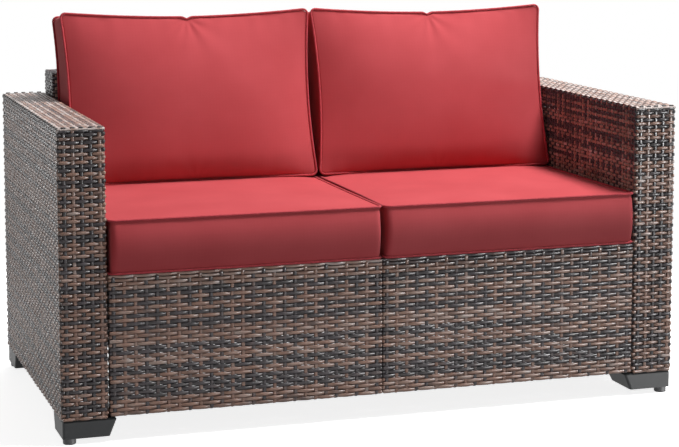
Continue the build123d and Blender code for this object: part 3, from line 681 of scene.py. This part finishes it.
# Charcoal plastic from a spark-eroded mould: dull, with a grain of about 1 mm and a cloudy tint.
moulded_foot, tree, shader = surface("moulded_polypropylene_foot", Roughness=0.5, IOR=1.49, Specular_IOR_Level=0.3)
speckle(tree, shader, 900.0, 3.0, ((0.12, "141618"), (0.4, "1F2123")), 0.25, 0.0002, clouds=30.0)
# Black nylon: smoother than the feet, and scuffed a little paler where it has slid on a floor.
glide_nylon, tree, shader = surface("moulded_nylon_glide", Roughness=0.45, IOR=1.53)
speckle(tree, shader, 260.0, 4.0, ((0.35, "17171A"), (0.8, "2C2C2F")))
# Bright zinc plating: a clear grey metal whose faint spangles are by turns duller and brighter.
zinc, tree, shader = surface("zinc_plated_steel", Metallic=1.0)
spangle = speckle(tree, shader, 320.0, 3.0, ((0.3, "8E9194"), (0.7, "B4B6B8")))
polish = add_node(tree, "MapRange", {"Value": spangle, "To Min": 0.25, "To Max": 0.45})
tree.links.new(polish.outputs[0], shader.inputs["Roughness"])
for end in ("front", "rear"):
    for side, sign in sides:
        dress(f"{end}_{side}_foot", moulded_foot)
        dress(f"{end}_{side}_glide_pad", glide_nylon)
        dress(f"{end}_{side}_glide_stud", zinc)
for group in ("glide_bushes", "foot_screws", "frame_bolts", "bolt_washers", "rivet_inserts"):
    dress(group, zinc)


# The seat cushions. Box cushions sewn from solution-dyed polyester canvas over foam: a crowned top
# panel, a boxing strip and a flat bottom, with a fabric-covered cord let into both seams.

# Dyed canvas: an even, dull red that mottles slightly over 110 mm, with a soft pale sheen where it
# is seen flat, since fibre ends stand off it. Its threads lie 0.5 mm apart, too fine to show: they
# are drawn as very faint bands 6.9 mm apart, whose crests carry a faint painted highlight.
canvas, tree, shader = surface("solution_dyed_polyester_canvas", Roughness=0.8, Specular_IOR_Level=0.12,
                               Sheen_Weight=0.28, Sheen_Roughness=0.4, Sheen_Tint=linear("F0B0B0"))
place = add_node(tree, "TexCoord").outputs["Object"]
weft, warp = (add_node(tree, "TexWave", {
    "Vector": place, "Scale": 1000 / 22, "Distortion": 1.5, "Detail": 1.0},
    wave_type="BANDS", bands_direction=way) for way in ("X", "Z"))
threads = add_node(tree, "Math", {0: weft.outputs["Fac"], 1: warp.outputs["Fac"]}, operation="ADD")
mottle = add_node(tree, "TexNoise", {"Vector": place, "Scale": 9.0, "Detail": 3.0})
shade = add_node(tree, "ValToRGB", {0: mottle.outputs["Fac"]}, stops=((0.3, "B9454A"), (0.7, "C24D52")))
# Painted highlight: the crests of the thread bands are painted slightly paler, towards DB666B.
painted_thread_highlight = add_node(tree, "MapRange", {
    "Value": threads.outputs[0], "From Max": 2.0, "To Min": 0.0, "To Max": 0.04})
cloth_colour = add_node(tree, "Mix", {
    "Factor": painted_thread_highlight.outputs[0], "A": shade.outputs[0], "B": linear("DB666B")}, data_type="RGBA")
tree.links.new(cloth_colour.outputs["Result"], shader.inputs["Base Color"])
nap = add_node(tree, "Bump", {"Height": threads.outputs[0], "Strength": 0.05, "Distance": 0.0003})
tree.links.new(nap.outputs[0], shader.inputs["Normal"])
# The same canvas round a cord, its colour painted a shade deeper for the shade along the cord, with less sheen and
# slightly uneven.
cord_canvas_painted_deeper, tree, shader = surface(
    "cord_covered_in_polyester_canvas", Roughness=0.75, Sheen_Weight=0.1, Specular_IOR_Level=0.15)
speckle(tree, shader, 160.0, 3.0, ((0.3, "AE363F"), (0.75, "C0454D")), 0.2, 0.0006)


def evenly(line, count):
    """A line of points taken again at even distances, with this many steps."""
    run = distances(line)
    spread = np.linspace(0, run[-1], count + 1)
    return np.stack([np.interp(spread, run, line[:, c]) for c in range(line.shape[1])], 1)


def seam_sides(edges, radius, counts):
    """The four sides of a seam line, each from the middle of one rounded corner to the next."""
    pull = 0.55
    trimmed, arcs = [], []
    for edge in edges:
        run = distances(edge)
        inside = np.linspace(radius, run[-1] - radius, 160)
        trimmed.append(np.stack([np.interp(inside, run, edge[:, c]) for c in (0, 1)], 1))
    t = np.linspace(0, 1, 17)[:, None]
    for at in range(4):
        tip, before, after = edges[at][0], trimmed[at - 1][-1], trimmed[at][0]
        inner, outer = before + pull * (tip - before), after + pull * (tip - after)
        arcs.append((1 - t) ** 3 * before + 3 * (1 - t) ** 2 * t * inner
                    + 3 * (1 - t) * t ** 2 * outer + t ** 3 * after)
    return [evenly(np.concatenate((arcs[at][8:-1], trimmed[at], arcs[(at + 1) % 4][1:9])), count)
            for at, count in enumerate(counts)]


def panel(lines):
    """A grid of points between four sides that meet at their ends (a Coons patch)."""
    low_side, far_side, high_side, near_side = lines[0], lines[1], lines[2][::-1], lines[3][::-1]
    u = np.linspace(0, 1, len(low_side))[:, None, None]
    v = np.linspace(0, 1, len(far_side))[None, :, None]
    ruled = (1 - v) * low_side[:, None] + v * high_side[:, None]
    crossed = (1 - u) * near_side[None] + u * far_side[None]
    corners = ((1 - u) * (1 - v) * low_side[0] + u * (1 - v) * low_side[-1]
               + (1 - u) * v * high_side[0] + u * v * high_side[-1])
    return ruled + crossed - corners


def box_cushion(name, near, far, swell, boxing_rows):
    """A sewn box of three panels: one inside the near seam, one inside the far seam and the strip
    between them. Swell gives each panel's points their start. The seams' points come first; gives
    the cushion and how many they are."""
    ring_count = sum(len(side) - 1 for side in near)
    rings = [np.concatenate([side[:-1] for side in seam]) for seam in (near, far)]
    spots, quads, base = [*rings], [], 2 * ring_count
    for which, seam in enumerate((near, far)):
        grid = swell(which, panel(seam))
        nu, nv = grid.shape[0] - 1, grid.shape[1] - 1
        ring = which * ring_count + np.arange(ring_count)
        index = np.empty((nu + 1, nv + 1), int)
        index[:-1, 0] = ring[:nu]
        index[-1, :-1] = ring[nu:nu + nv]
        index[1:, -1] = ring[nu + nv:2 * nu + nv][::-1]
        index[0, 1:] = ring[2 * nu + nv:][::-1]
        index[1:-1, 1:-1] = base + np.arange((nu - 1) * (nv - 1)).reshape(nu - 1, nv - 1)
        base += (nu - 1) * (nv - 1)
        spots.append(grid[1:-1, 1:-1].reshape(-1, 3))
        cells = np.stack((index[:-1, :-1], index[1:, :-1], index[1:, 1:], index[:-1, 1:]), 2).reshape(-1, 4)
        quads.append(cells if which else cells[:, ::-1])
    shares = np.linspace(0, 1, boxing_rows + 1)
    strip = swell(2, np.stack([rings[0] * (1 - t) + rings[1] * t for t in shares], 1))
    index = np.empty((ring_count, boxing_rows + 1), int)
    index[:, 0], index[:, -1] = np.arange(ring_count), ring_count + np.arange(ring_count)
    index[:, 1:-1] = base + np.arange(ring_count * (boxing_rows - 1)).reshape(ring_count, -1)
    spots.append(strip[:, 1:-1].reshape(-1, 3))
    onward = np.roll(index, -1, 0)
    quads.append(np.stack((onward[:, :-1], onward[:, 1:], index[:, 1:], index[:, :-1]), 2).reshape(-1, 4))
    return smooth_piece(name, np.concatenate(spots), np.concatenate(quads), canvas), 2 * ring_count


def blow_up(cushion, seams, cap):
    """Cloth under pressure from inside, held at its seams; then no point has moved more than its cap."""
    settling_frames = 20
    group = cushion.vertex_groups.new(name="seams")
    group.add(list(range(seams)), 1.0, "REPLACE")
    before = np.array([v.co for v in cushion.data.vertices])
    cloth = cushion.modifiers.new("canvas", "CLOTH")
    cloth.settings.quality = 5
    cloth.settings.mass = 0.3
    cloth.settings.tension_stiffness = cloth.settings.compression_stiffness = 15
    cloth.settings.bending_stiffness = 0.5
    cloth.settings.use_pressure = True
    cloth.settings.uniform_pressure_force = 4.0
    cloth.settings.vertex_group_mass = "seams"
    cloth.settings.effector_weights.gravity = 0
    cloth.collision_settings.use_collision = False
    for at in range(settling_frames):
        scene.frame_set(at + 1)
    depsgraph = bpy.context.evaluated_depsgraph_get()
    after = np.array([v.co for v in cushion.evaluated_get(depsgraph).data.vertices])
    cushion.modifiers.remove(cloth)
    cushion.vertex_groups.clear()
    scene.frame_set(1)
    moved = after - before
    far = np.linalg.norm(moved, axis=1)
    limit = cap(before)
    scale = limit * np.tanh(far / np.maximum(limit, 1e-6)) / np.maximum(far, 1e-9)
    cushion.data.vertices.foreach_set("co", (before + moved * scale[:, None]).ravel())
    cushion.data.update()


def finish_cover(cushion, seams, puckers, shift, dice):
    """One subdivision, which keeps the seams tight, then small puckers beside them; the cushion, made
    in the middle, is shifted to its side."""
    seam_crease = 0.8
    smooth = cushion.modifiers.new("smooth", "SUBSURF")
    smooth.levels = smooth.render_levels = 1
    crease = cushion.data.attributes.new("crease_edge", "FLOAT", "EDGE")
    seam_edge = np.array([max(e.vertices) < seams for e in cushion.data.edges], np.float32)
    crease.data.foreach_set("value", seam_edge * seam_crease)
    depsgraph = bpy.context.evaluated_depsgraph_get()
    mesh = bpy.data.meshes.new_from_object(cushion.evaluated_get(depsgraph))
    cushion.modifiers.clear()
    cushion.data = mesh
    points = np.array([v.co for v in mesh.vertices]) * 1000
    puckers(points, dice)
    mesh.vertices.foreach_set("co", mm(points).ravel())
    mesh.update()
    mesh.transform(Matrix.Translation((mm(shift), 0, 0)))


def ripples(run, lengths, phase):
    """Four waves of different lengths laid over one another, between -1 and 1."""
    return sum(np.sin(run / length + p) for length, p in zip(lengths, phase)) / 4


def piping(name, seams, shift, dice):
    """Round cords of slightly uneven thickness along closed seam lines, as one mesh."""
    around, unevenness = 10, 0.03
    spots, quads, base = [], [], 0
    for seam in seams:
        ring = np.concatenate([line[:-1] for line in seam])
        ring[:, 0] += shift
        count = len(ring)
        way = unit(np.roll(ring, -1, 0) - np.roll(ring, 1, 0))
        plane_way = np.cross(ring[count // 4] - ring[0], ring[count // 2] - ring[0])
        plane_way /= np.linalg.norm(plane_way)
        side_way = unit(np.cross(way, plane_way))
        lift = np.cross(side_way, way)
        size = cord_radius * (1 + unevenness * dice.normal(0, 1, count))
        for k in range(around):
            turn = 2 * math.pi * k / around
            spots.append(ring + (side_way * math.cos(turn) + lift * math.sin(turn)) * size[:, None])
        i = np.arange(count)
        for k in range(around):
            a, b = base + k * count, base + (k + 1) % around * count
            quads.append(np.stack((a + i, a + (i + 1) % count, b + (i + 1) % count, b + i), 1))
        base += around * count
    return smooth_piece(name, np.concatenate(spots), np.concatenate(quads), cord_canvas_painted_deeper)


def belongs(kind, side, cushion, cord):
    """A cushion and its cords ride with its body, in place of its CAD cover, core and piping."""
    for piece, held, finish in ((cushion, ("cover", "core"), "cushion_fabric"), (cord, ("piping",), "piping_fabric")):
        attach(piece, f"{side}_{kind}_cushion")
        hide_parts(*(f"{side}_{kind}_{h}" for h in held))


cushion_middle, seat_half, seat_front, seat_rear, seat_seams = 271.5, 265.6, -338.5, 239.6, (321.8, 421.8)
# How far outside the cover the seams and the middles of their cords run, with their corners' radius.
seam_at, cord_at, cord_radius = (1.0, 9), (3.1, 12.1), 2.5
seat_steps, seat_boxing, seat_cord_steps = (78, 84, 78, 84), 14, (140, 150, 140, 150)


def seat_seam(out, corner, height, counts):
    """A seat cushion's seam line, this far outside the cover, drawn in between its corners."""
    side_draw, front_draw = 4.0, 0.6
    half, front, rear = seat_half + out, seat_front - out, seat_rear + out
    t = np.linspace(-1, 1, 81)
    draw = side_draw * (1 - t ** 2)
    edges = [np.stack((t * half, front - front_draw * (1 - t ** 2)), 1),
             np.stack((half - draw, (front + rear) / 2 + t * (rear - front) / 2), 1),
             np.stack((-t * half, np.full(81, rear)), 1),
             np.stack((draw - half, (front + rear) / 2 - t * (rear - front) / 2), 1)]
    lines = seam_sides(edges, corner, counts)
    return [np.concatenate((line, np.full((len(line), 1), height)), 1) for line in lines]


def seat_swell(which, grid):
    """Where a seat cushion's panels start: a flat bottom (0), a low crown on top (1), which falls
    towards the rear, and a boxing (2) that is full at the front."""
    bottom_sag, crown, rear_fall = 2.3, 3.2, 1.2
    front_reach, front_swell = 30, 12.0
    grid = grid.copy()
    if which < 2:
        u = np.linspace(-1, 1, grid.shape[0])[:, None]
        v = np.linspace(-1, 1, grid.shape[1])[None]
        edge = (1 - np.abs(u) ** 5) * (1 - np.abs(v) ** 5)
        grid[..., 2] += edge * (crown - rear_fall * v) if which else -bottom_sag * np.minimum(1, edge * 3)
    else:
        t = np.linspace(0, 1, grid.shape[1])[None]
        front = np.clip((seat_front + front_reach - grid[..., 1]) / front_reach, 0, 1)
        grid[..., 1] -= front * front_swell * np.sin(math.pi * t) ** 0.75
    return grid


def seat_cap(points):
    """The front boxing and the crown may swell; the flat bottom, sides and rear hardly."""
    hardly, crown, bow = 0.8, 5.0, 3.2
    x, y, z = points.T * 1000
    top = np.clip((z - 421) / 2, 0, 1) * np.clip((230 - y) / 260, 0.15, 1)
    front = np.clip((-334 - y) / 6, 0, 1)
    return mm(hardly + crown * top + bow * front)


def seat_puckers(points, dice):
    """Puckers beside the seams of the top panel and the front boxing."""
    top_deep, front_deep, lengths = 0.55, 0.45, (5.3, 8.1, 13.7, 21.0)
    top_seam = seat_seams[1]
    x, y, z = points.T
    phase = dice.uniform(0, 6, 8)
    inward = np.minimum.reduce((seat_half - np.abs(x), y - seat_front, seat_rear - y))
    wave = ripples(x + y * 0.6, lengths, phase)
    on_top = (z > top_seam + 1.2) * np.exp(-np.clip(inward, 0, None) / 9) * np.clip(inward / 3, 0, 1)
    points[:, 2] += top_deep * wave * on_top
    below = np.abs(top_seam - z)
    points[:, 1] += front_deep * wave * (y < seat_front + 6) * np.exp(-below / 12) * np.clip(below / 3, 0, 1)


for side, sign in sides:
    shift, dice = sign * cushion_middle, np.random.default_rng(41 if sign < 0 else 42)
    near, far = (seat_seam(*seam_at, z, seat_steps) for z in seat_seams)
    cushion, seams = box_cushion(f"{side}_seat_cushion", near, far, seat_swell, seat_boxing)
    blow_up(cushion, seams, seat_cap)
    finish_cover(cushion, seams, seat_puckers, shift, dice)
    cord_lines = [seat_seam(*cord_at, z, seat_cord_steps) for z in seat_seams]
    cord = piping(f"{side}_seat_piping_cord", cord_lines, shift, dice)
    belongs("seat", side, cushion, cord)


# The back cushions. The same canvas, sewn as a box that is thicker at the bottom and filled with
# blown fibre. The front panel swells and leans back; a sewn tuck pulls in the middle of the top
# edge, which sags towards it.
back_low, front_top, rear_top = 431.5, 778.0, 765.0
front_rest, front_lean_to, rear_y = 82.7, 150.7, 242.7
back_steps, back_boxing, back_cord_steps = (78, 56, 78, 56), 18, (150, 100, 150, 100)


def back_seam(out, corner, top, low_y, high_y, counts):
    """A back cushion's seam line on its plane: drawn-in sides, and a top that sags to the tuck."""
    top_sag, tuck, side_draw, tuck_half = 13.0, 5.0, 11.0, 11.0
    half, height = seat_half + out, top - back_low
    t = np.linspace(-1, 1, 121)
    draw = side_draw * (1 - t ** 2)
    x = t * half
    sag = top_sag * (1 - np.abs(t) ** 1.84) + tuck * np.clip(1 - np.abs(x) / tuck_half, 0, 1) ** 1.3
    low, high = -out, height + out
    rise = (low + high) / 2 + t * (high - low) / 2
    edges = [np.stack((x, np.full(121, low)), 1), np.stack((half - draw, rise), 1),
             np.stack((-x, high - sag), 1), np.stack((draw - half, rise[::-1]), 1)]
    lean = (high_y - low_y) / height
    return [np.stack((line[:, 0], low_y + line[:, 1] * lean, back_low + line[:, 1]), 1)
            for line in seam_sides(edges, corner, counts)]


def back_swell(which, grid):
    """Where a back cushion's panels start: the rear (0) nearly flat, the front (1) already a crown
    that is fullest low down and rolls over the bottom seam, and the boxing as it is."""
    rear_swell, front_swell, front_flat, crown_lift = 1.5, 41, 2, 3
    roll, roll_length = 0.85, 9
    grid = grid.copy()
    if which < 2:
        u = np.linspace(-1, 1, grid.shape[0])[:, None]
        v = np.linspace(-1, 1, grid.shape[1])[None]
        edge = (1 - np.abs(u) ** 3.2) * (1 - np.abs(v) ** 3.2)
        if which == 0:
            grid[..., 1] += rear_swell * np.minimum(1, edge * 3)
        else:
            dome = (1 - np.abs(u) ** 2.5) * np.where(v < 0, (1 - np.abs(v) ** 2.1) ** 0.62, 1 - v ** 2)
            over_seam = grid[..., 2] - back_low
            grid[..., 2] -= roll * (1 - np.abs(u) ** 6) * over_seam * np.exp(-over_seam / roll_length)
            grid[..., 1] -= front_swell * dome + front_flat * edge
            grid[..., 2] += crown_lift * dome * np.clip(v + 1, 0, 1)
    return grid


def front_plane(z):
    """How far back the plane of the front seam lies at this height."""
    return front_rest + (z - back_low) * (front_lean_to - front_rest) / (front_top - back_low)


def back_cap(points):
    """The front panel may swell most, the boxing a little, and the rear and bottom hardly."""
    hardly, front, top, ends = 0.8, 9, 5, 1.0
    x, y, z = points.T * 1000
    on_front = np.clip(-(y - front_plane(z)) / 4, 0, 1)
    on_top = np.clip((z - 745) / 20, 0, 1)
    on_ends = np.clip((np.abs(x) - 235) / 20, 0, 1)
    free = np.clip((z - back_low) / 30, 0, 1) * np.clip((238 - y) / 10, 0, 1)
    return mm(hardly + front * on_front + free * (top * on_top + ends * on_ends) * (1 - on_front))


def back_puckers(points, dice):
    """Gathers along the top and bottom seams of the front panel, and folds that fan out from the
    tuck in the top edge and, fainter, from the one in the bottom edge."""
    gather, low_share, reach, lengths = 1.6, 0.8, 26, (6.1, 9.7, 15.0, 27.0)
    folds_round, fold_reach, fold_start = 9, 55, 15
    x, y, z = points.T
    phase = dice.uniform(0, 6, 8)
    facing = np.clip((front_plane(z) - y) / 3, 0, 1)
    from_top, from_low = np.clip(front_top - 13 - z, 0, None), np.clip(z - back_low, 0, None)
    wave = ripples(x, lengths, phase)
    points[:, 1] += facing * wave * gather * (np.exp(-from_top / reach) + low_share * np.exp(-from_low / reach))
    for level, deep in ((front_top - 16, 1.5), (back_low, 0.5)):
        fan, away = np.arctan2(np.abs(z - level) + 4, x), np.hypot(x, z - level)
        folds = np.cos(fan * folds_round + phase[5]) * np.exp(-away / fold_reach) * np.clip(away / fold_start, 0, 1)
        points[:, 1] += facing * deep * folds
    points[:, 2] = np.where(z < back_low + 40, np.maximum(points[:, 2], back_low - 0.4), points[:, 2])


for side, sign in sides:
    shift, dice = sign * cushion_middle, np.random.default_rng(51 if sign < 0 else 52)
    seam_planes = (rear_top, rear_y, rear_y), (front_top, front_rest, front_lean_to)
    near, far = (back_seam(*seam_at, *plane, back_steps) for plane in seam_planes)
    cushion, seams = box_cushion(f"{side}_back_cushion", near, far, back_swell, back_boxing)
    blow_up(cushion, seams, back_cap)
    finish_cover(cushion, seams, back_puckers, shift, dice)
    cord_lines = [back_seam(*cord_at, *plane, back_cord_steps) for plane in seam_planes]
    cord = piping(f"{side}_back_piping_cord", cord_lines, shift, dice)
    belongs("back", side, cushion, cord)


# The zips. Nylon coil on polyester tape, sewn into the rear boxing of the seat cushions and the
# bottom boxing of the back cushions, with a painted zinc slider each.

# Woven tape and its coil: dull, dyed with the canvas, in light and dark ribs. The coil's turns,
# 1 mm apart on the real zip, are drawn 6.3 mm apart.
zip_tape, tree, shader = surface("woven_polyester_zip_tape", Roughness=0.8)
place = add_node(tree, "TexCoord")
turns = add_node(tree, "TexWave", {"Vector": place.outputs["Object"], "Scale": 50.0},
                 wave_type="BANDS", bands_direction="X")
tint = add_node(tree, "ValToRGB", {0: turns.outputs["Fac"]}, stops=((0.2, "8E2A32"), (0.8, "B03C44")))
tree.links.new(tint.outputs[0], shader.inputs["Base Color"])
teeth = add_node(tree, "Bump", {"Height": turns.outputs["Fac"], "Strength": 0.5, "Distance": 0.0004})
tree.links.new(teeth.outputs[0], shader.inputs["Normal"])
# Paint on a zinc casting: half glossy and a little worn, to the colour of the canvas.
slider_paint, tree, shader = surface("painted_zinc_die_casting", Roughness=0.35, Metallic=0.0)
speckle(tree, shader, 500.0, 4.0, ((0.3, "8F2B33"), (0.7, "AB3A42")))
for side, sign in sides:
    for kind in ("seat", "back"):
        dress(f"{side}_{kind}_zip", zip_tape)
        dress(f"{side}_{kind}_slider", slider_paint)

low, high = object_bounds()
